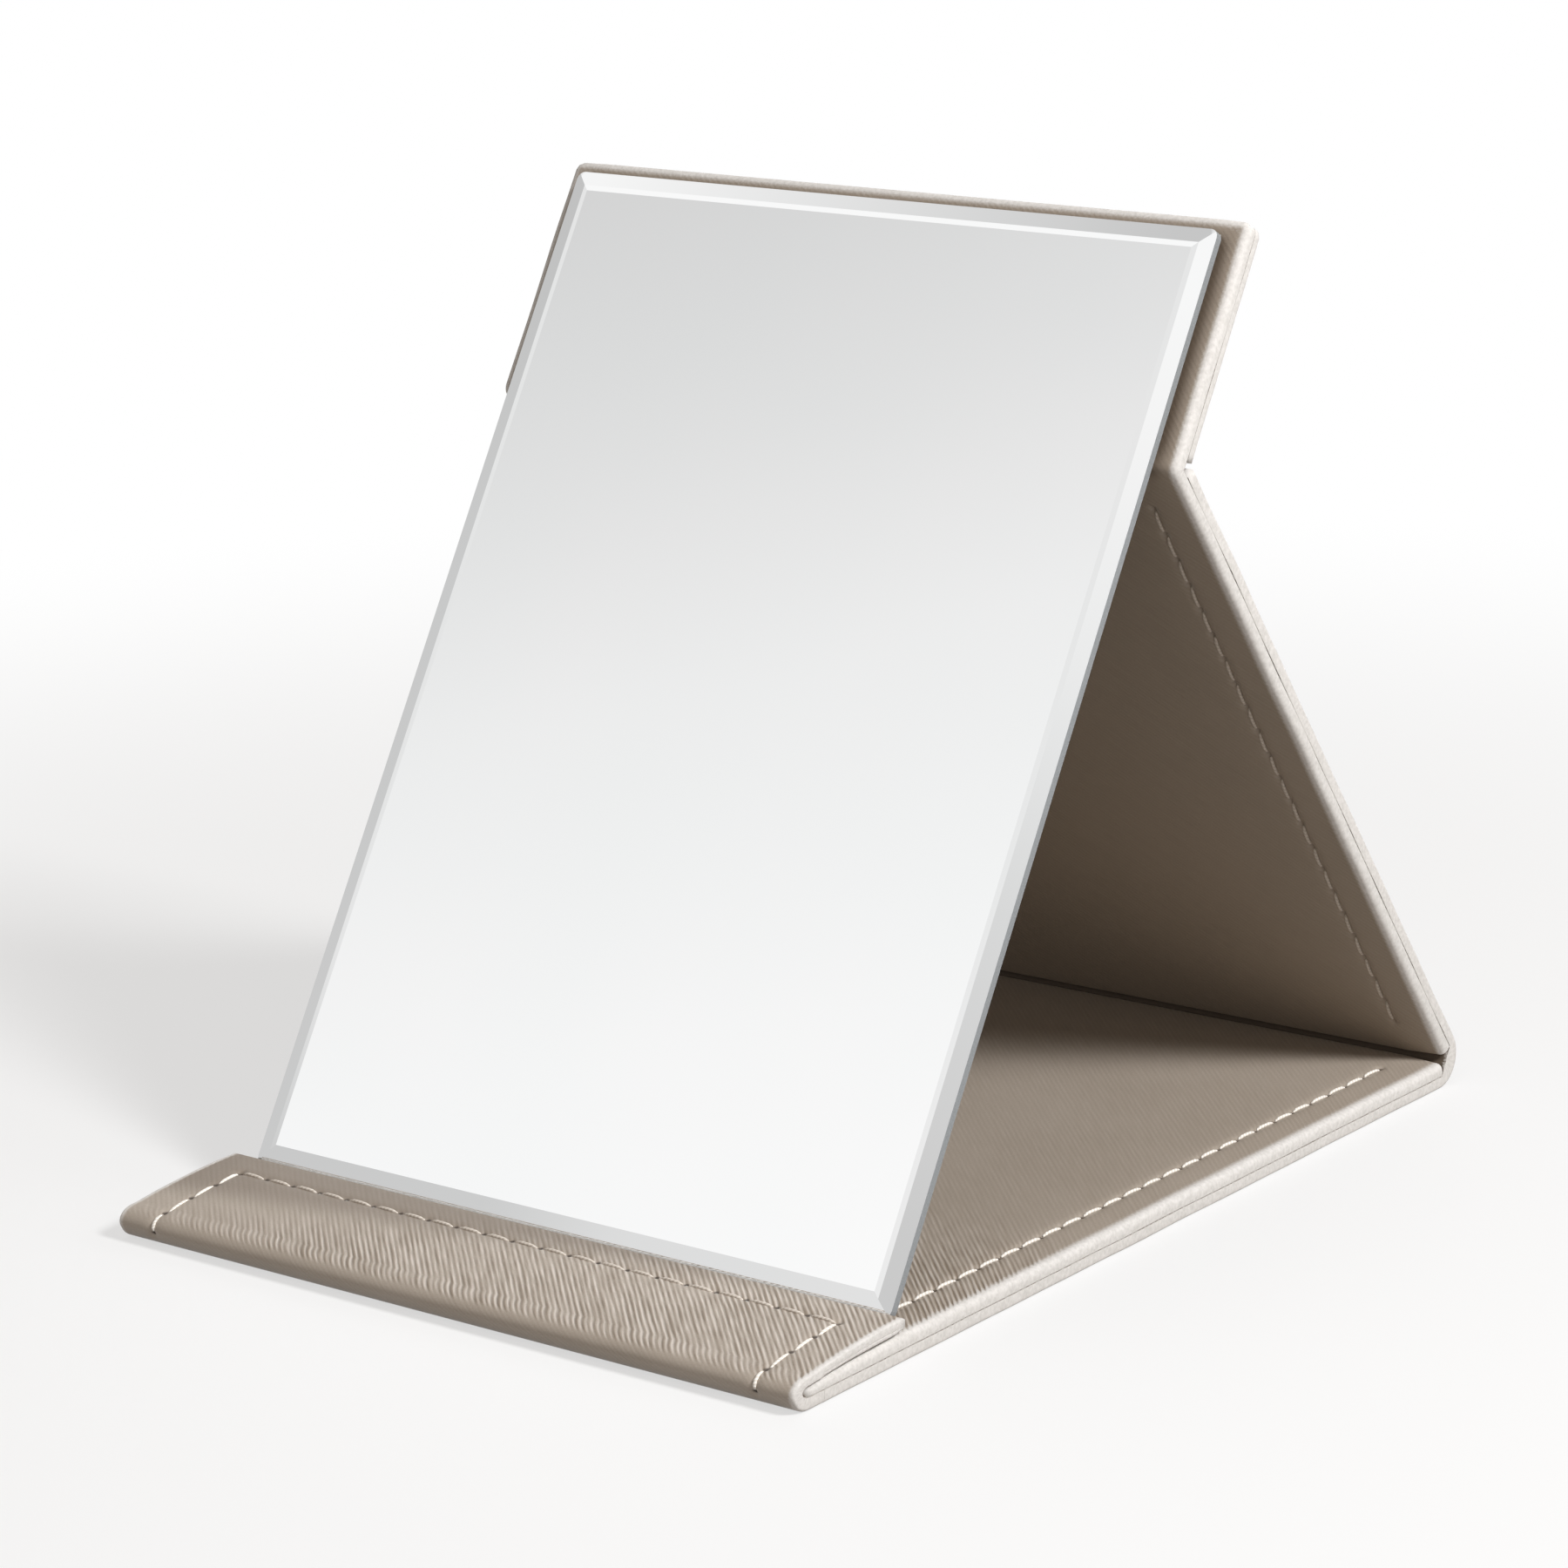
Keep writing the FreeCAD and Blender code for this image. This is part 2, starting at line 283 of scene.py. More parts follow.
class Route:
    """The line that the face of a ply follows in the side view, as straight runs and round turns.

    side is 1j where the ply lies to the left of its heading, or -1j where it lies to the right.
    """

    def __init__(self, spot, heading, side):
        self.spot = spot
        self.heading = heading
        self.side = side
        self.length = 0.0
        self.stretches = []

    def run(self, length):
        """Go straight on."""
        self.stretches.append((self.length, self.spot, self.heading, None))
        self.spot += self.heading * length
        self.length += length
        return self

    def turn(self, radius, angle):
        """Turn towards the ply's own side, with the radius of its face."""
        self.stretches.append((self.length, self.spot, self.heading, radius))
        swing = cmath.exp(self.side * angle)
        self.spot += self.heading * self.side * radius * (1 - swing)
        self.heading *= swing
        self.length += radius * angle
        return self

    def place(self, along, depth):
        """The point at a length along the face and a depth below it."""
        begun = [stretch for stretch in self.stretches if stretch[0] <= along]
        began, spot, heading, radius = begun[-1] if begun else self.stretches[0]
        inward = heading * self.side
        if radius is None:
            return slumped(spot + heading * (along - began) + inward * depth)
        swing = cmath.exp(self.side * (along - began) / radius)
        return slumped(spot + inward * (radius - swing * (radius - depth)))


class Seam:
    """A straight row of needle holes on a flat ply, along its length or across it."""

    def __init__(self, lengthwise, offset, first, last, depth=channel_depth):
        self.lengthwise = lengthwise
        self.offset = offset
        self.depth = depth
        self.count = max(1, round((last - first) / stitch_pitch))
        self.first = first
        self.last = last
        self.pitch = (last - first) / self.count

    def holes(self):
        return [self.first + self.pitch * index for index in range(self.count + 1)]

    def sink(self, x, along):
        """How deep the seam draws the face in at a point, and how near the point is to a hole."""
        across, reach = (x - self.offset, along) if self.lengthwise else (along - self.offset, x)
        past_end = max(self.first - reach, reach - self.last, 0)
        if abs(across) > seam_reach or past_end > seam_reach:
            return 0.0, 0.0
        index = min(max(round((reach - self.first) / self.pitch), 0), self.count)
        near = reach - self.first - index * self.pitch
        channel = math.exp(-(across * across + past_end * past_end) / channel_width ** 2)
        hole = math.exp(-(across * across + near * near) / needle_hole_radius ** 2)
        return self.depth * channel + needle_hole_depth * hole, hole


def side_seams(first, last, depth=channel_depth):
    """The two seams along the sides of a ply."""
    return [Seam(True, x, first, last, depth) for x in (-seam_x, seam_x)]


def cut_lines(first, last, step, offsets):
    """Where a ply is divided: even steps, drawn together beside each seam and clear of the rim."""
    inner_first = first + rim_step
    inner_last = last - rim_step
    count = max(1, round((inner_last - inner_first) / step))
    even = [inner_first + (inner_last - inner_first) * index / count for index in range(count + 1)]
    clear = [line for line in even if all(abs(line - offset) > seam_reach for offset in offsets)]
    beside = [offset + nudge for offset in offsets for nudge in seam_steps]
    lines = sorted([first, last, *clear, *beside])
    return [line for line, before in zip(lines, [first - step, *lines]) if line - before > nothing]


def spread(bm, columns, rows):
    """Move the lines of an even unit grid to the given columns and rows."""
    for vert in bm.verts:
        vert.co.x = columns[round((vert.co.x + 0.5) * (len(columns) - 1))]
        vert.co.y = rows[round((vert.co.y + 0.5) * (len(rows) - 1))]


def butted(edge, butts):
    """Whether an edge lies on one of the ends that butt on a neighbour."""
    return any(all(abs(vert.co.y - butt) < nothing for vert in edge.verts) for butt in butts)


def rim_edges(bm, level, butts):
    """The outline edges of a flat ply at one level, apart from ends that butt on a neighbour."""
    def on_level(edge):
        return all(abs(vert.co.z - level) < nothing for vert in edge.verts)

    def outlines(edge):
        return sum(abs(face.normal.z) > facing_up for face in edge.link_faces) == 1

    return [edge for edge in bm.edges if on_level(edge) and outlines(edge) and not butted(edge, butts)]


def round_corner(x, along, radius, end):
    """Draw a point near the two corners at the end of a ply in to a round corner."""
    out = abs(x) - (half_width - radius)
    up = along - (end - radius)
    if radius == 0 or out <= 0 or up <= 0:
        return x, along
    ease = max(out, up) / math.hypot(out, up)
    return math.copysign(half_width - radius + out * ease, x), end - radius + up * ease


def make_ply(
    name, route, thickness, seams, worn, butts=(), kept=(), corner=0.0, shape=None, rounding=face_rounding
):
    """Cut a ply flat, round its rim, draw in its seams and lay it along its route.

    worn is how far the coat thins in from the free edges. butts are the lengths of ends that butt on a
    neighbour, and kept of ends whose coat stays whole. corner rounds the two far corners. shape(x, along,
    depth) gives a new depth. rounding is that of the face's rim.
    """
    free_ends = [end for end in (0.0, route.length) if end not in butts and end not in kept]
    crossings = [seam.offset for seam in seams if not seam.lengthwise]
    column_step = fine_step if crossings else coarse_step
    columns = cut_lines(-half_width, half_width, column_step, (-seam_x, seam_x))
    rows = cut_lines(0.0, route.length, fine_step, crossings)
    bm = bmesh.new()
    bmesh.ops.create_grid(bm, x_segments=len(columns) - 1, y_segments=len(rows) - 1, size=0.5)
    spread(bm, columns, rows)
    bmesh.ops.solidify(bm, geom=bm.faces[:], thickness=thickness)
    roundings = {0.0: min(rounding, thickness / 2), -thickness: min(back_rounding, thickness / 4)}
    for level, offset in roundings.items():
        bm.normal_update()
        bmesh.ops.bevel(
            bm, geom=rim_edges(bm, level, butts), offset=offset, offset_type="OFFSET",
            affect="EDGES", segments=4, profile=0.5, material=-1,
        )
    flat = bm.verts.layers.float_vector.new("flat")
    pit = bm.verts.layers.float.new("pit")
    rim = bm.verts.layers.float.new("rim")
    for edge in bm.edges:
        edge.smooth = not butted(edge, butts)
    for vert in bm.verts:
        x, along, depth = vert.co.x, vert.co.y, -vert.co.z
        vert[flat] = (x, along, depth)
        vert[rim] = min([half_width - abs(x), *(abs(along - end) for end in free_ends)]) / worn
        if depth < thickness / 2:
            for seam in seams:
                sink, hole = seam.sink(x, along)
                depth += sink
                vert[pit] = max(vert[pit], hole)
        if shape:
            depth = shape(x, along, depth)
        x, along = round_corner(x, along, corner, route.length)
        ruffle = noise.noise(Vector((along / edge_wander_length, half_width, x / half_width)))
        x += edge_wander * ruffle * (x / half_width) ** edge_wander_steepness
        spot = route.place(along, depth)
        vert.co = (x, spot.real, spot.imag)
    return finish_mesh(name, bm)


def finish_mesh(name, bm, smooth=True):
    """Make a shape an object of its own."""
    for face in bm.faces:
        face.smooth = smooth
    mesh = bpy.data.meshes.new(name)
    bm.to_mesh(mesh)
    bm.free()
    piece = bpy.data.objects.new(name, mesh)
    bpy.context.scene.collection.objects.link(piece)
    return piece


# The pressed grain of the coat: how large each of its marks is, and what share it has
mean = 0.5
grain_pitch = 0.78 * MM
grain_height = 0.1 * MM
grain_waver = 0.35
waver_length = 9 * MM
streak_width = 0.6 * MM
streak_stretch = 14
ridge_share = 0.6
pebble_size = 0.35 * MM
pebble_share = 0.2
patch_size = 3 * MM
cloud_size = 30 * MM
even_grain = 0.4
patchy_grain = 0.35
cloudy_grain = 0.35
faded_grain = 0.9
smooth_slant = 2
smooth_rest = 0.15

# What wears and glues it, and its painted shade: in needle holes, the rear fold, the linings and beside the
# glass
coat_thickness = 0.5 * MM
wide_worn_rim = 3.0 * MM
slim_worn_rim = 1.7 * MM
soft_worn_rim = 2.4 * MM
pebble_wear = 0.3
ridge_wear = 0.35
cloudy_tone = 0.2
fibre_size = 0.6 * MM
fibre_height = 0.5
glue_line = 0.04 * MM
thin_glue = 0.3
blotted_glue = 0.5
inner_glue_and_shade = 0.7
coat_roughness = 0.52
ridge_gloss = 0.14
backing_roughness = 0.3
taupe = ((148, 136, 123), (170, 159, 147), (192, 182, 172))
bold_taupe = ((132, 119, 105), (170, 159, 147), (208, 199, 190))
# Painted shade: a darker, warmer copy of the taupe for the linings, which lie in the shade inside the leg
# and strip.
taupe_in_shade = ((138, 124, 109), (158, 145, 131), (180, 168, 155))
cloudy_taupe = (150, 138, 124)
painted_shade_taupe = (108, 95, 82)
glue_and_shade_brown = (92, 79, 66)
hole_shade_brown = (64, 52, 42)


def leathercloth(
    name, lean, grain, fades=None, smooth=None, hole=1.0, shades=taupe, inner=glue_and_shade_brown, shade_paint=None
):
    """Coated leathercloth with a slanting pressed grain. lean is the way its lines slant, 1 or -1.

    grain is how bold the lines are, and fades gives the two lengths between which they die out. smooth
    does the same for the left corner, on a slant. hole is how strongly painted shade darkens the needle
    holes, from 0 to 1, and shades are the coat's dark, middle and light colours. inner is the colour of
    the inner face: by default brown with glue, and dark so that it also paints the shade in the hollow of
    the rear fold. The painted shade function, of x, along and rim, gives where the coat is darkened as
    shade, from 0 to 1. The coat thins to the pale backing at the rims.
    """
    material, start = new_finish(name)
    sheet = start.painted("flat", "Vector")
    pit = start.painted("pit", "Fac")
    rim = start.painted("rim", "Fac")
    x = sheet.axis("X")
    along = sheet.axis("Y")
    depth = sheet.axis("Z")
    waver = sheet.speckle(waver_length, detail=1.0)
    patchy = sheet.speckle(patch_size)
    pebble = sheet.speckle(pebble_size) - mean
    cloud = sheet.speckle(cloud_size)
    fibre = sheet.speckle(fibre_size, detail=4.0)
    across_grain = (x - lean * along) / math.sqrt(2)
    down_grain = (x + lean * along) / math.sqrt(2)
    drawn_out = {"X": across_grain, "Y": down_grain / streak_stretch}
    streak = start.node("ShaderNodeCombineXYZ", {}, drawn_out).speckle(streak_width).ease(0.3, 0.7)
    ridge = (across_grain / grain_pitch + grain_waver * waver).wave()
    spread_out = even_grain + patchy_grain * patchy.ease(0.3, 0.6) + cloudy_grain * cloud.ease(0.38, 0.58)
    strength = grain * spread_out
    if fades:
        strength = strength * (1 - faded_grain * along.ease(*fades))
    if smooth:
        past_corner = (x + smooth_slant * along).ease(*smooth)
        strength = strength * (smooth_rest + (1 - smooth_rest) * past_corner)
    lines = strength * (ridge * ridge_share + streak * (1 - ridge_share) - mean)
    relief = mean + lines + pebble_share * pebble
    wear = depth / coat_thickness + 1 - rim.ease(0.0, 1.0) + pebble_wear * pebble + ridge_wear * lines
    core = wear.ease(0.2, 0.85)
    coat = relief.tints((0.1, tint(*shades[0])), (0.5, tint(*shades[1])), (0.9, tint(*shades[2])))
    coat = (cloudy_tone * cloud.ease(0.35, 0.65)).mixed(coat, tint(*cloudy_taupe))
    # Painted shade: where shade falls beside the glass, the coat is darkened towards a shaded taupe.
    if shade_paint:
        coat = shade_paint(x, along, rim).mixed(coat, tint(*painted_shade_taupe))
    backing = fibre.flecked(tint(206, 203, 199), tint(225, 222, 219))
    edge_glue = thin_glue + blotted_glue * fibre.ease(0.42, 0.58)
    # The inner face takes the glue's brown. Inside it is dark enough to paint the shade in the hollow at
    # the rear fold, while the cut edge shows a thin real glue line.
    inner_side = depth.ease(ply - 3 * glue_line, ply - glue_line)
    colour = core.mixed(coat, backing)
    colour = (inner_side * (edge_glue + inner_glue_and_shade * rim.ease(0.1, 0.4))).mixed(colour, tint(*inner))
    # Painted shade: the needle holes are darkened in colour, standing in for the shade in them.
    colour = (hole * pit.ease(0.15, 0.6)).mixed(colour, tint(*hole_shade_brown))
    height = (1 - core) * relief + core * fibre * fibre_height
    close_finish(
        start,
        Base_Color=colour,
        Roughness=coat_roughness - ridge_gloss * relief + backing_roughness * core,
        Normal=height.bump(grain_height),
    )
    return material


def cover(piece, finish, *nodes):
    """Give a ply its finish and hide the CAD nodes that it stands for."""
    piece.data.materials.append(finish)
    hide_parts(*nodes)


outer_cloth = leathercloth("taupe leathercloth, outer", lean=1, grain=0.75)
leg_outer_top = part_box("leg_outer_ply")[1].z
leg_outer_end = (leg_outer_top - rear_axis.imag + rear_radius * leg_heading.real) / leg_heading.imag
under_base = rear_axis.real - outer_low.y
leg_foot = under_base + rear_radius * rear_turn
rear_route = Route(complex(outer_low.y, 0), 1, 1j).run(under_base)
rear_route.turn(rear_radius, rear_turn).run(leg_outer_end)
seam_end = 7.0 * MM
rear_seams = side_seams(seam_end, under_base - seam_end, floor_channel_depth)
rear_seams += side_seams(leg_foot + seam_end, rear_route.length - seam_end)
fold_tuck = 0.8
fold_fullness = 4


def tucked(x, along, depth):
    """Let the inner side of the fold swell into the space between the ends of the two linings."""
    share = min(max((along - under_base) / (leg_foot - under_base), 0), 1)
    return depth * (1 + fold_tuck * (1 - abs(2 * share - 1) ** fold_fullness))


rear_cover = make_ply(
    "rear_cover", rear_route, ply, rear_seams, slim_worn_rim, butts=(0.0,), shape=tucked,
    rounding=crisp_rounding,
)
cover(rear_cover, outer_cloth, "base_outer_ply", "rear_fold_ply", "leg_outer_ply")
fold_reach = (rear_radius - ply) * math.sin(rear_turn / 2)
fold_aim = cmath.exp(1j * (rear_turn / 2))
fold_first = rear_axis - fold_aim * fold_reach
fold_last = rear_axis + fold_aim * fold_reach
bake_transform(rear_cover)

# Front cover: the outer ply goes on from the base, turns back over itself in a soft round nose and becomes
# the flap. It is one ply thick at the nose and skived thinner where the flap lining is stuck on.
flap_run = flap_high.y - front_axis.real
flap_tail = flap_low.y - front_axis.real
flap_skive_share = (flap_high.z - flap_low.z) / ply
flap_seam_margin = 6.2 * MM
flap_side_stitches = 4
front_route = Route(complex(flap_high.y, flap_high.z), -1, 1j).run(flap_run)
front_route.turn(nose_radius, math.pi).run(flap_tail)
front_seams = [Seam(False, flap_seam_margin, -seam_x, seam_x)]
front_seams += side_seams(flap_seam_margin, flap_seam_margin + flap_side_stitches * stitch_pitch)


def skive(x, along, depth):
    """Thin the flap where its lining is stuck on."""
    return depth if along > flap_run - flap_tail else depth * flap_skive_share


# Painted shade: the rear of the flap is darkened in colour beside the foot of the glass, where the glass
# shades it.
glass_shade_strength = 0.6
glass_shade_slant = 0.15
glass_shade_fades = (10.5 * MM, 2.0 * MM)


def glass_shade_on_flap(x, along, rim):
    """Painted shade of the glass on the rear of the flap, darkest on the left."""
    return glass_shade_strength * (along + glass_shade_slant * x).ease(*glass_shade_fades)


nose_fades = (flap_run + 0.5 * nose_radius, flap_run + 0.95 * nose_radius)
thumbed_corner = (-20 * MM, 25 * MM)
nose_cloth = leathercloth(
    "taupe leathercloth, nose", lean=1, grain=1.15, fades=nose_fades, smooth=thumbed_corner,
    shades=bold_taupe, inner=(140, 127, 113), shade_paint=glass_shade_on_flap,
)
front_cover = make_ply(
    "front_cover", front_route, ply, front_seams, slim_worn_rim, butts=(front_route.length,), kept=(0.0,),
    shape=skive, rounding=crisp_rounding,
)
cover(front_cover, nose_cloth, "front_fold_ply", "flap_outer_ply")
nose_high = (0, front_axis.real, slumped(complex(front_axis.real, 2 * nose_radius - ply)).imag)
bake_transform(front_cover)

# Flap lining: a thin ply stuck and sewn to the inner side of the flap, closing the two magnet pockets.
# It is pared thin at its free end, which stands a little clear of the base.
pocket_low, pocket_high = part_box("flap_lining_ply")
pocket_ply = pocket_high.z - pocket_low.z
mouth_length = 3.6 * MM
mouth_share = 0.65
lining_side_stitches = 2
faint_grain = 0.18
faint_hole = 0.2
lining_cloth = leathercloth(
    "taupe leathercloth, lining", lean=-1, grain=faint_grain, hole=faint_hole, shades=taupe_in_shade
)
flap_lining_route = Route(complex(pocket_low.y, pocket_low.z), 1, 1j).run(pocket_high.y - pocket_low.y)
flap_lining_seam = flap_lining_route.length - flap_seam_margin
flap_lining_seams = [Seam(False, flap_lining_seam, -seam_x, seam_x)]
side_start = flap_lining_seam - lining_side_stitches * stitch_pitch
flap_lining_seams += side_seams(side_start, flap_lining_seam)


def pared(x, along, depth):
    """Thin the lining from its open side towards the free end."""
    mouth = max(0.0, 1 - (flap_lining_route.length - along) / mouth_length) ** 2
    return pocket_ply - (pocket_ply - depth) * (1 - mouth_share * mouth)


flap_lining = make_ply(
    "flap_lining", flap_lining_route, pocket_ply, flap_lining_seams, slim_worn_rim, butts=(0.0,),
    shape=pared,
)
cover(flap_lining, lining_cloth, "flap_lining_ply")
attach(flap_lining, "flap")

# Base lining: the ply of leathercloth that shows on top of the base, glued over the board and sewn down
# along both sides. Its rim is pressed on to the outer ply, and its grain dies out towards the rear.
board_gap = lining_low.z - outer_high.z
press_start = half_width - seam_margin
press_end = half_width - face_rounding
pressed_share = 0.98


def pressed(x, along, depth):
    """Press the rim of a lining down on the outer ply, past the edge of the board."""
    share = min(max((abs(x) - press_start) / (press_end - press_start), 0), 1)
    return depth + pressed_share * board_gap * share * share * (3 - 2 * share)


fold_gap = 0.05 * MM
base_lining_end = rear_axis.real - fold_gap
nose_fill = 0.4 * MM
base_lining_start = front_axis.real - nose_fill
base_lining_route = Route(complex(base_lining_start, lining_high.z), 1, -1j)
base_lining_route.run(base_lining_end - base_lining_start)
base_seams = side_seams(seam_end, lining_high.y - base_lining_start - seam_end)
flap_end = flap_high.y - base_lining_start
bold_behind_flap = 8 * MM
gone_behind_flap = 52 * MM
base_fades = (flap_end + bold_behind_flap, flap_end + gone_behind_flap)
base_cloth = leathercloth(
    "taupe leathercloth, base", lean=-1, grain=1.4, fades=base_fades, shades=bold_taupe
)
base_lining = make_ply(
    "base_lining", base_lining_route, ply, base_seams, wide_worn_rim, butts=(base_lining_route.length,),
    shape=pressed,
)
cover(base_lining, base_cloth, "base_lining_ply")
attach(base_lining, "base")

# Leg and strip lining: one ply that faces the inside of the leg, bends at the crease and goes on up the
# front of the strip, where the glass is stuck on.
strip_lining_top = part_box("strip_lining_ply")[1]
crease_radius = ply + board_gap
leg_inward = leg_heading * 1j
leg_face = lining_high.z - rear_radius
strip_front = strip_heading * 1j
strip_run = (strip_lining_top.z - crease_axis.imag - crease_radius * strip_front.imag) / strip_heading.imag
strip_corner = 1.5 * MM
lining_start = rear_axis + leg_heading * fold_gap + leg_inward * leg_face
leg_lining_route = Route(lining_start, leg_heading, -1j).run(leg_run - fold_gap)
leg_lining_route.turn(crease_radius, crease_turn).run(strip_run)
leg_seams = side_seams(seam_end, leg_run - seam_end)
leg_lining = make_ply(
    "leg_lining", leg_lining_route, ply, leg_seams, soft_worn_rim, butts=(0.0,), corner=strip_corner,
    shape=pressed,
)
# Painted shade: the strip's coat is darkened in colour beside the glass, where the glass shades it.
strip_shade_from = leg_run - 2 * MM
strip_shade_full = leg_run + 6 * MM


def shade_beside_glass(x, along, rim):
    """Painted shade darkens the strip beside the glass, but not its worn rim."""
    return along.ease(strip_shade_from, strip_shade_full) * rim.ease(0.5, 1.5)


leg_cloth = leathercloth(
    "taupe leathercloth, leg", lean=-1, grain=faint_grain, hole=faint_hole, shades=taupe_in_shade,
    shade_paint=shade_beside_glass,
)
cover(leg_lining, leg_cloth, "leg_lining_ply", "crease_fold_ply", "strip_lining_ply")
crease_aim = leg_heading * cmath.exp(-0.5j * crease_turn)
crease_reach = board_gap * math.sin(crease_turn / 2)
crease_first = crease_axis - crease_aim * crease_reach
crease_last = crease_axis + crease_aim * crease_reach
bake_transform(leg_lining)

# Strip back: the outer ply behind the top strip, cut from the same leathercloth as a piece of its own. It
# is glued to the board and sewn along its sides and its top.
strip_back_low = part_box("strip_outer_ply")[0]
strip_foot = (strip_back_low.z - crease_axis.imag + ply * strip_front.imag) / strip_heading.imag
strip_start = crease_axis + strip_heading * strip_foot - strip_front * ply
strip_route = Route(strip_start, strip_heading, 1j).run(strip_run - strip_foot)
strip_seam = strip_route.length - seam_margin
strip_seams = [Seam(False, strip_seam, -seam_x, seam_x), *side_seams(seam_end, strip_seam)]
strip_back = make_ply("strip_back", strip_route, ply, strip_seams, slim_worn_rim, corner=strip_corner)
cover(strip_back, outer_cloth, "strip_outer_ply")
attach(strip_back, "mirror")

# Seam thread: thick off-white sewing thread in a lock stitch. Each stitch lies in the groove that it pulls
# into the ply and dives into a needle hole at both ends.
thread_half_width = 0.28 * MM
thread_half_height = 0.26 * MM
thread_lift = 0.22 * MM
stitch_share = 0.86
stitch_dive = 0.34 * MM
stitch_slant = 0.13 * MM
stitch_bluntness = 4
stitch_wobble = 0.6
wobble_stride = 1.7
twist_pitch = 0.75 * MM
twist_slant = 0.8
strand_share = 0.7


def sew(bm, route, seam):
    """Lay one rounded stitch between each two holes of a seam."""
    holes = seam.holes()
    flat = bm.verts.layers.float_vector["flat"]
    for index, (first, last) in enumerate(zip(holes, holes[1:])):
        made = bmesh.ops.create_uvsphere(bm, u_segments=8, v_segments=6, radius=1.0)
        middle = (first + last) / 2
        half = (last - first) / 2 * stitch_share
        wobble = stitch_wobble * noise.noise(Vector((index * wobble_stride, seam.offset / MM, middle / MM)))
        for vert in made["verts"]:
            side, up, reach = vert.co
            girth = math.hypot(side, up)
            blunt = reach ** stitch_bluntness
            swell = math.sqrt(1 - blunt) / girth if girth > nothing else 0.0
            across = side * swell * thread_half_width + stitch_slant * (reach + wobble)
            run = middle + reach * half
            height = up * swell * thread_half_height
            vert[flat] = (across, run, height)
            x, along = (seam.offset + across, run) if seam.lengthwise else (run, seam.offset + across)
            spot = route.place(along, seam.depth - (height + thread_lift - stitch_dive * blunt))
            vert.co = (x, spot.real, spot.imag)


def sewing_thread(name, shaded, bright):
    """Two twisted strands with a little fuzz."""
    material, start = new_finish(name)
    place = start.painted("flat", "Vector")
    strand = ((place.axis("Y") + place.axis("X") * twist_slant) / twist_pitch).wave()
    fuzz = place.speckle(size=0.2 * MM, detail=3.0)
    relief = strand * strand_share + fuzz * (1 - strand_share)
    close_finish(
        start,
        Base_Color=relief.tints((0.1, shaded), (0.8, bright)),
        Roughness=0.7,
        Normal=relief.bump(height=0.05 * MM),
    )
    return material


white_thread = sewing_thread("off-white sewing thread", tint(226, 219, 208), tint(250, 247, 242))
# Painted shade: a duller copy of the off-white thread for the flap's long row, which lies in shade.
thread_in_shade = sewing_thread("sewing thread in painted shade", tint(196, 186, 174), tint(222, 214, 205))
taupe_thread = sewing_thread("pale taupe sewing thread", tint(186, 175, 162), tint(206, 196, 185))


def make_thread(name, node, rows, finish):
    """One thread piece from (route, seams) pairs."""
    bm = bmesh.new()
    bm.verts.layers.float_vector.new("flat")
    for route, seams in rows:
        for seam in seams:
            sew(bm, route, seam)
    bmesh.ops.recalc_face_normals(bm, faces=bm.faces[:])
    piece = finish_mesh(name, bm)
    piece.data.materials.append(finish)
    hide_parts(node)
    return piece


base_rows = [(base_lining_route, base_seams), (rear_route, rear_seams[:2])]
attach(make_thread("base_thread", "base_seam_thread", base_rows, white_thread), "base")
leg_rows = [(leg_lining_route, leg_seams), (rear_route, rear_seams[2:])]
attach(make_thread("leg_thread", "leg_seam_thread", leg_rows, taupe_thread), "leg")
strip_rows = [(strip_route, strip_seams)]
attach(make_thread("strip_thread", "strip_seam_thread", strip_rows, white_thread), "mirror")
flap_side_rows = [(front_route, front_seams[1:])]
flap_side_thread = make_thread("flap_side_thread", "flap_seam_thread", flap_side_rows, white_thread)
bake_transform(flap_side_thread)
flap_long_rows = [(front_route, front_seams[:1])]
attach(make_thread("flap_long_thread", "flap_seam_thread", flap_long_rows, thread_in_shade), "flap")
flap_lining_rows = [(flap_lining_route, flap_lining_seams)]
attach(make_thread("flap_lining_thread", "flap_seam_thread", flap_lining_rows, white_thread), "flap")

# Magnets and keeper plates: two plated flat magnets in the flap and two thin steel plates in the strip,
# closed in between the plies.
nickel, start = new_finish("nickel plate")
place = object_place(start)
scuff = place.speckle(size=0.8 * MM, detail=4.0)
close_finish(
    start,
    Base_Color=scuff.flecked(tint(172, 168, 160), tint(204, 201, 194)),
    Metallic=1.0,
    Roughness=0.25 + 0.2 * scuff,
    Normal=scuff.bump(height=0.01 * MM),
)
dress("flap_magnets", nickel)
sheet_steel, start = new_finish("brushed sheet steel")
place = object_place(start)
brush_stretch = (0.08, 1.0, 1.0)
stretched = place.node("ShaderNodeMapping", {}, {"Vector": place, "Scale": brush_stretch})
brush = stretched.speckle(size=0.25 * MM, detail=3.0)
close_finish(
    start,
    Base_Color=brush.flecked(tint(150, 150, 150), tint(182, 182, 181)),
    Metallic=1.0,
    Roughness=0.32 + 0.2 * brush,
    Normal=brush.bump(height=0.008 * MM),
)
dress("strip_keeper_plates", sheet_steel)

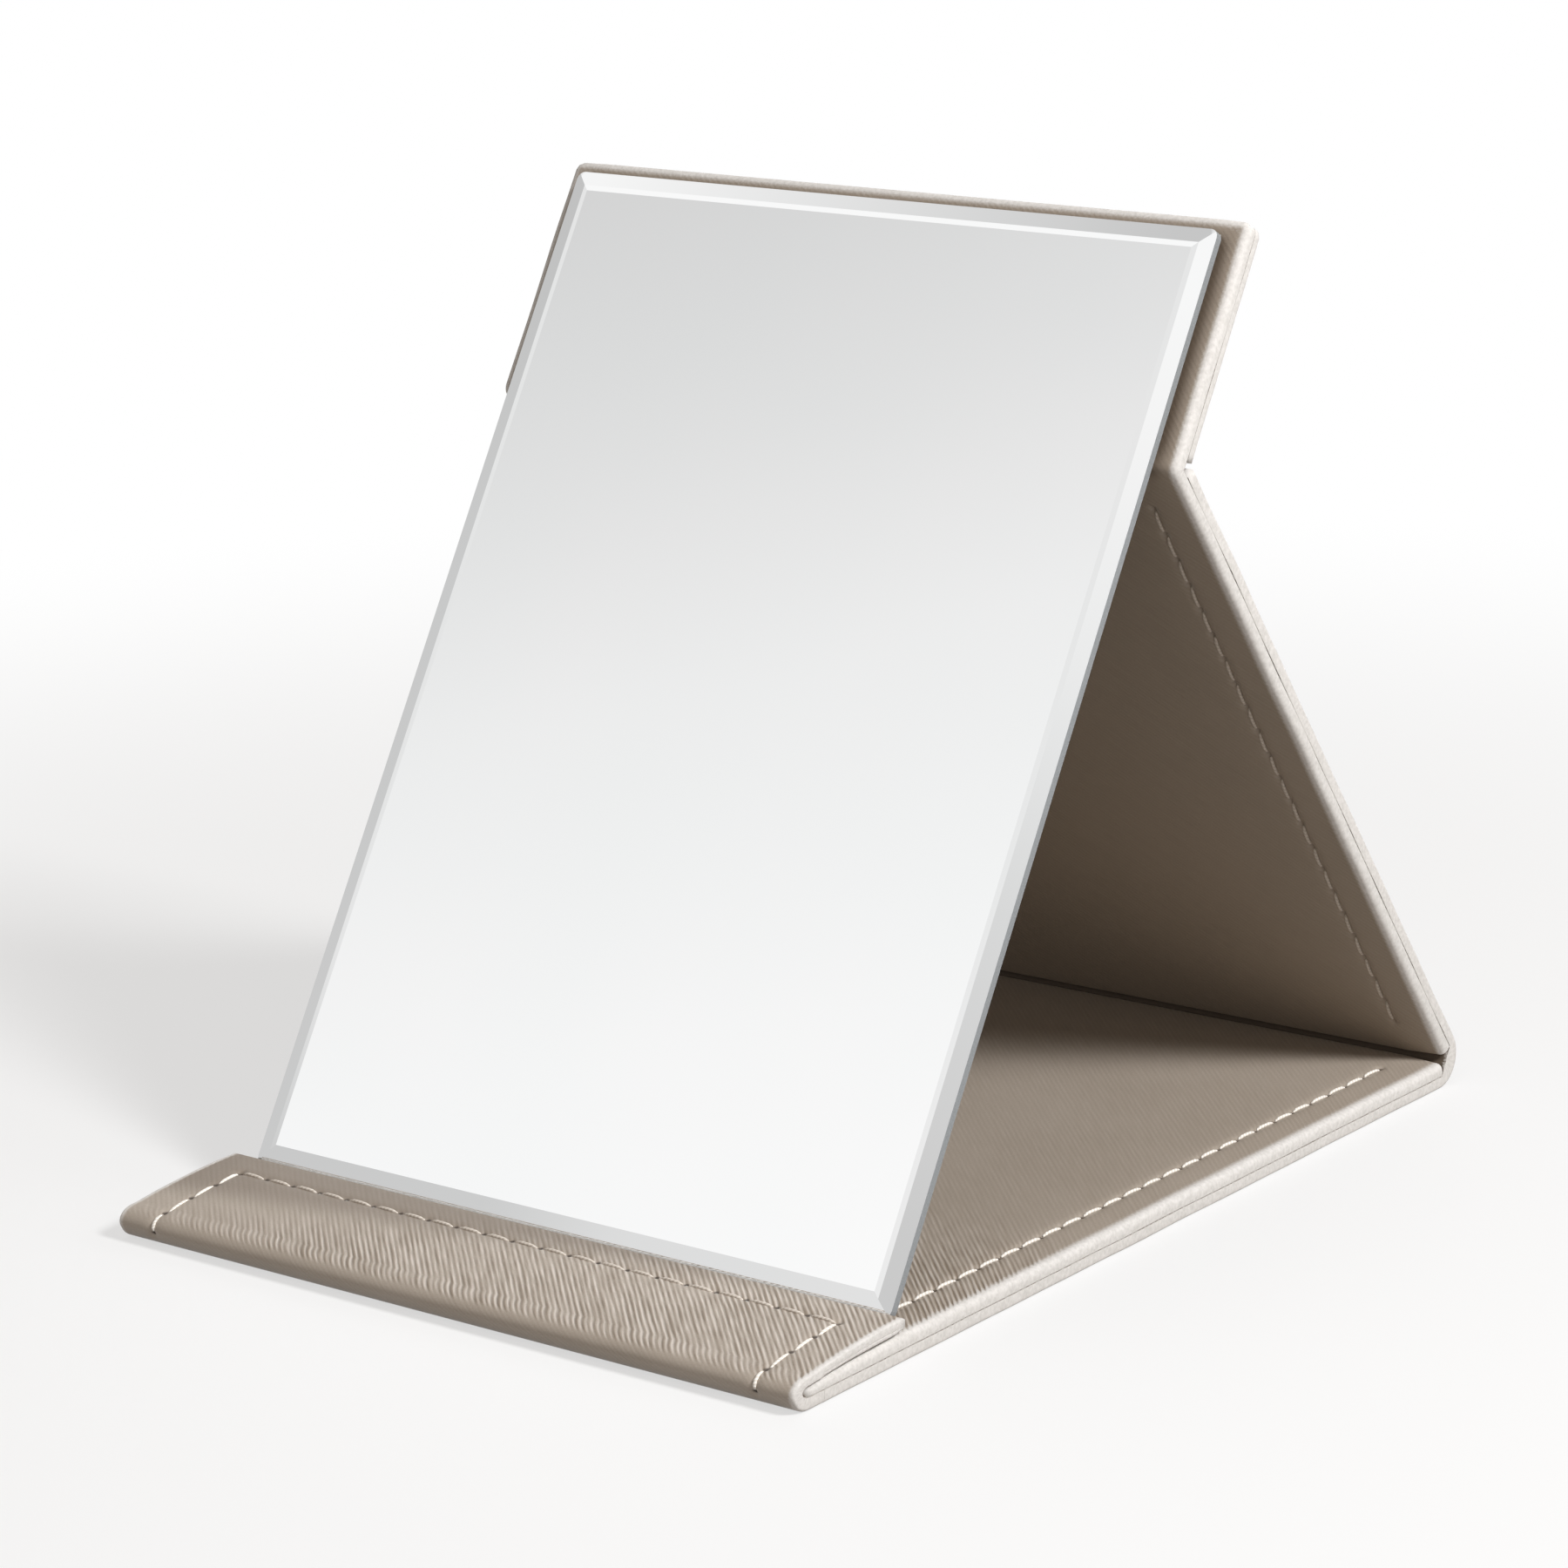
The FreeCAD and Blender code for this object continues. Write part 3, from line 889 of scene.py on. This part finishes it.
# Mounting tape and backing film: two strips of foam tape hold the glass on the strip, and a grey film over
# the back of the silvering holds it together if it breaks.
foam, start = new_finish("foam tape")
place = object_place(start)
cells = place.speckle(size=0.3 * MM, detail=3.0)
close_finish(
    start,
    Base_Color=cells.flecked(tint(58, 56, 54), tint(84, 82, 79)),
    Roughness=0.95,
    Normal=cells.bump(height=0.06 * MM),
)
dress("mirror_mounting_tape", foam)
film, start = new_finish("backing film")
place = object_place(start)
peel = place.speckle(size=2.5 * MM)
smear = place.speckle(size=40 * MM, detail=3.0)
close_finish(
    start,
    Base_Color=(0.7 * smear + 0.3 * peel).flecked(tint(150, 148, 144), tint(176, 174, 170)),
    Roughness=0.42 + 0.2 * smear,
    Normal=peel.bump(height=0.03 * MM),
)
dress("mirror_backing_film", film)

# Mirror glass: float glass with a polished bevel all round, ground sides and a silvered back, stuck on with
# the tape. Glass and silver work as one bright surface, so face and bevels have the silvered finish.
silvering, start = new_finish("silvering")
place = object_place(start)
bloom = place.speckle(size=60 * MM, detail=3.0)
close_finish(
    start,
    Base_Color=bloom.flecked(tint(251, 250, 250), tint(254, 253, 253)),
    Metallic=1.0,
    Roughness=0.012 + 0.006 * bloom,
)
dress("mirror_silvering", silvering)

silvered_glass, start = new_finish("silvered float glass")
place = object_place(start)
drawn = place.speckle(size=45 * MM, detail=1.0)
close_finish(
    start,
    Base_Color=drawn.flecked(tint(252, 253, 253), tint(254, 254, 254)),
    Metallic=1.0,
    Roughness=0.008 + 0.008 * drawn,
    Coat_Weight=1.0,
    Coat_Roughness=0.0,
    Coat_IOR=1.52,
)
ground_glass, start = new_finish("ground glass edge")
place = object_place(start)
grind = place.speckle(size=0.18 * MM, detail=4.0)
close_finish(
    start,
    Base_Color=grind.flecked(tint(130, 134, 137), tint(148, 152, 155)),
    Roughness=0.5 + 0.2 * grind,
    Normal=grind.bump(height=0.006 * MM),
)

# The glass is shaped flat with the crease as its origin, up the strip in y and out from the strip in z
glass_low, glass_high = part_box("mirror_glass")
glass_width = glass_high.x - glass_low.x
bevel_width = 2.4 * MM
bevel_drop = 0.58 * MM
glass_thickness = 2.0 * MM
silvering_inset = 0.3 * MM
corner_round = 1.3 * MM
arris = 0.9 * MM
arris_rise = arris * bevel_drop / bevel_width / 2
silver_gap = 0.02 * MM
glass_height = 165.0 * MM
glass_back = 3.1 * MM + silver_gap
glass_foot = -129.5 * MM
side_height = glass_thickness - bevel_drop - arris_rise - silver_gap
bm = bmesh.new()
bmesh.ops.create_cube(bm, size=1.0)
bmesh.ops.scale(bm, verts=bm.verts[:], vec=(glass_width, glass_height, side_height))
side_middle = (0, glass_foot + glass_height / 2, glass_back + side_height / 2)
bmesh.ops.translate(bm, verts=bm.verts[:], vec=side_middle)
uprights = [e for e in bm.edges if abs(e.verts[0].co.z - e.verts[1].co.z) > side_height / 2]
bm.normal_update()
front = [face for face in bm.faces if face.normal.z > facing_up]
bmesh.ops.inset_region(bm, faces=front, thickness=bevel_width, depth=bevel_drop, use_even_offset=True)
bmesh.ops.inset_region(bm, faces=front, thickness=arris, depth=arris_rise, use_even_offset=True)
bmesh.ops.bevel(
    bm, geom=uprights, offset=corner_round, offset_type="OFFSET", affect="EDGES", segments=4, profile=0.5,
    material=-1,
)
bm.normal_update()
back = [face for face in bm.faces if face.normal.z < -facing_up]
bmesh.ops.inset_region(bm, faces=back, thickness=silvering_inset, depth=0.0, use_even_offset=True)
bm.normal_update()
half_face = glass_width * glass_height / 2
coated = [face for face in bm.faces if face.normal.z < -facing_up and face.calc_area() > half_face]
glass_finishes = [silvered_glass, ground_glass, silvering]
for face in bm.faces:
    finish = silvered_glass if face.normal.z > facing_up else ground_glass
    face.material_index = glass_finishes.index(finish)
for face in coated:
    face.material_index = glass_finishes.index(silvering)
swing = Matrix.Rotation(cmath.phase(strip_heading), 4, "X")
stand = Matrix.Translation((0, crease_axis.real, crease_axis.imag))
bmesh.ops.transform(bm, matrix=stand @ swing, verts=bm.verts[:])
bevelled_glass = finish_mesh("bevelled_glass", bm, smooth=False)
for finish in glass_finishes:
    bevelled_glass.data.materials.append(finish)
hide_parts("mirror_glass")
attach(bevelled_glass, "mirror")

# Floor: a plain white table top that runs far past the picture and takes the soft shadow. Seen by the
# camera or in the glass it turns to pure white further out, and it throws a warm grey light on the part.
floor_half = 4.0
shadow_reach = 0.16
white_reach = 0.5
near_white = 0.62
bm = bmesh.new()
bmesh.ops.create_grid(bm, x_segments=1, y_segments=1, size=floor_half)
floor = finish_mesh("floor", bm, smooth=False)
white_top, start = new_finish("white table top")
rays = ("Is Camera Ray", "Is Glossy Ray", "Is Transmission Ray")
seen = [start.node("ShaderNodeLightPath", {}, {}, ray) for ray in rays]
shown = start.math("MINIMUM", seen[0] + seen[1] + seen[2], 1.0)
spot = object_place(start)
away = spot.node("ShaderNodeVectorMath", {"operation": "LENGTH"}, {0: spot}, "Value")
far = away.ease(shadow_reach, white_reach)
glow = start.node("ShaderNodeEmission", {}, {"Color": tint(255, 255, 255), "Strength": 1.0})
white = shown.mixed(tint(166, 162, 158), tint(232, 232, 232))
paint = start.node("ShaderNodeBsdfDiffuse", {}, {"Color": white})
glowing = shown * (near_white + (1 - near_white) * far)
lit = start.node("ShaderNodeMixShader", {}, {0: glowing, 1: paint, 2: glow})
start.node("ShaderNodeOutputMaterial", {}, {"Surface": lit})
floor.data.materials.append(white_top)

# Studio: a white room with pale grey walls that the face and the bevels of the glass mirror, and two soft
# boxes for the light. A wall begins and ends by direction: rise is up, aside to the right and ahead to the
# rear.
room = bpy.data.worlds.new("studio")
bpy.context.scene.world = room
room.use_nodes = True
room.node_tree.nodes.clear()
start = Wire(room.node_tree)
seen = [start.node("ShaderNodeLightPath", {}, {}, ray) for ray in rays]
aim = start.node("ShaderNodeTexCoord", {}, {}, "Generated")
rise = aim.axis("Z")
aside = aim.axis("X")
ahead = aim.axis("Y")
to_left = 0 - aside
to_floor = 0 - rise
to_front = 0 - ahead
face_slant = 0.9
face_start = 0.54
top_slant = 0.5
face_wall = (rise - face_slant * aside - face_start).greys(
    (0.09, 231), (0.17, 212), (0.3, 228), (0.45, 252), (0.505, 247),
    (0.56, 238), (0.595, 225), (0.63, 213), (0.7, 209), (0.78, 211),
)
wall = rise.ease(0.66, 0.69).mixed(face_wall, tint(250, 250, 250))
top_wall = (aside + 1).greys((0.37, 247), (0.4, 231), (0.43, 215), (0.46, 199))
wall = (rise - top_slant * aside).ease(1.05, 1.065).mixed(wall, top_wall)
wall = to_left.ease(0.68, 0.72).mixed(wall, tint(230, 230, 230))
left_wall = rise.greys((0.26, 221), (0.32, 211), (0.37, 199), (0.41, 194))
wall = to_left.ease(0.84, 0.87).mixed(wall, left_wall)
right_arris = rise.ease(0.55, 0.7).mixed(tint(236, 236, 236), tint(231, 231, 231))
wall = aside.ease(-0.5, -0.42).mixed(wall, right_arris)
right_wall = rise.greys((0.59, 203), (0.64, 217), (0.68, 237), (0.73, 249))
wall = aside.ease(-0.28, -0.2).mixed(wall, right_wall)
low_wall = (aside + 1).greys((0.35, 202), (0.38, 206), (0.4, 221), (0.44, 226))
wall = to_floor.ease(-0.4, -0.35).mixed(wall, low_wall)
mirrored = start.math("MINIMUM", seen[1] + seen[2], 1.0)
backdrop = mirrored.mixed((1.0, 1.0, 1.0, 1.0), wall)
shown = start.math("MINIMUM", seen[0] + mirrored, 1.0)
rear_light = (0.085, 0.064, 0.045, 1.0)
front_light = (0.56, 0.525, 0.49, 1.0)
ambient = to_front.ease(-0.2, 0.9).mixed(rear_light, front_light)
light = shown.mixed(ambient, backdrop)
sky = start.node("ShaderNodeBackground", {}, {"Color": light, "Strength": 1.0})
start.node("ShaderNodeOutputWorld", {}, {"Surface": sky})


def soft_box(name, spot, aim_at, size, power):
    """A square lamp behind white cloth, turned to the part."""
    lamp = bpy.data.lights.new(name, "AREA")
    lamp.shape = "SQUARE"
    lamp.size = size
    lamp.energy = power
    box = bpy.data.objects.new(name, lamp)
    box.location = spot
    box.rotation_euler = (Vector(aim_at) - Vector(spot)).to_track_quat("-Z", "Y").to_euler()
    bpy.context.scene.collection.objects.link(box)


middle = (cad_box[0] + cad_box[1]) / 2
soft_box("key_light", spot=(0.866, 0.0, 0.82), aim_at=middle, size=0.28, power=13.8)
soft_box("top_light", spot=(-0.25, 0.25, 1.1), aim_at=middle, size=0.7, power=1.1)

# Camera: a long lens a little above the table, to the right of the front, where the picture was taken. Its
# place is given from the middle of the front edge at the floor, along its own right, up and back.
camera_azimuth = math.radians(37.5385)
camera_elevation = math.radians(14.7983)
camera_roll = math.radians(-1.1342)
camera_side = 48.7085 * MM
camera_lift = 76.973 * MM
camera_distance = 741.5762 * MM
lens_length = 119.307
sensor_width = 36.0
nearest_seen = 10 * MM
camera_back = Vector((
    math.sin(camera_azimuth) * math.cos(camera_elevation),
    -math.cos(camera_azimuth) * math.cos(camera_elevation),
    math.sin(camera_elevation),
))
level_right = Vector((math.cos(camera_azimuth), math.sin(camera_azimuth), 0))
roll = Matrix.Rotation(camera_roll, 3, camera_back)
camera_right = roll @ level_right
camera_up = roll @ camera_back.cross(level_right)
camera_spot = camera_right * camera_side + camera_up * camera_lift + camera_back * camera_distance
camera_spot.y += cad_box[0].y
lens = bpy.data.cameras.new("camera")
lens.lens = lens_length
lens.sensor_width = sensor_width
lens.clip_start = nearest_seen
camera = bpy.data.objects.new("camera", lens)
turned = Matrix((camera_right, camera_up, camera_back)).transposed().to_4x4()
camera.matrix_world = Matrix.Translation(camera_spot) @ turned
bpy.context.scene.collection.objects.link(camera)
bpy.context.scene.camera = camera
bpy.context.scene.view_settings.view_transform = "Standard"
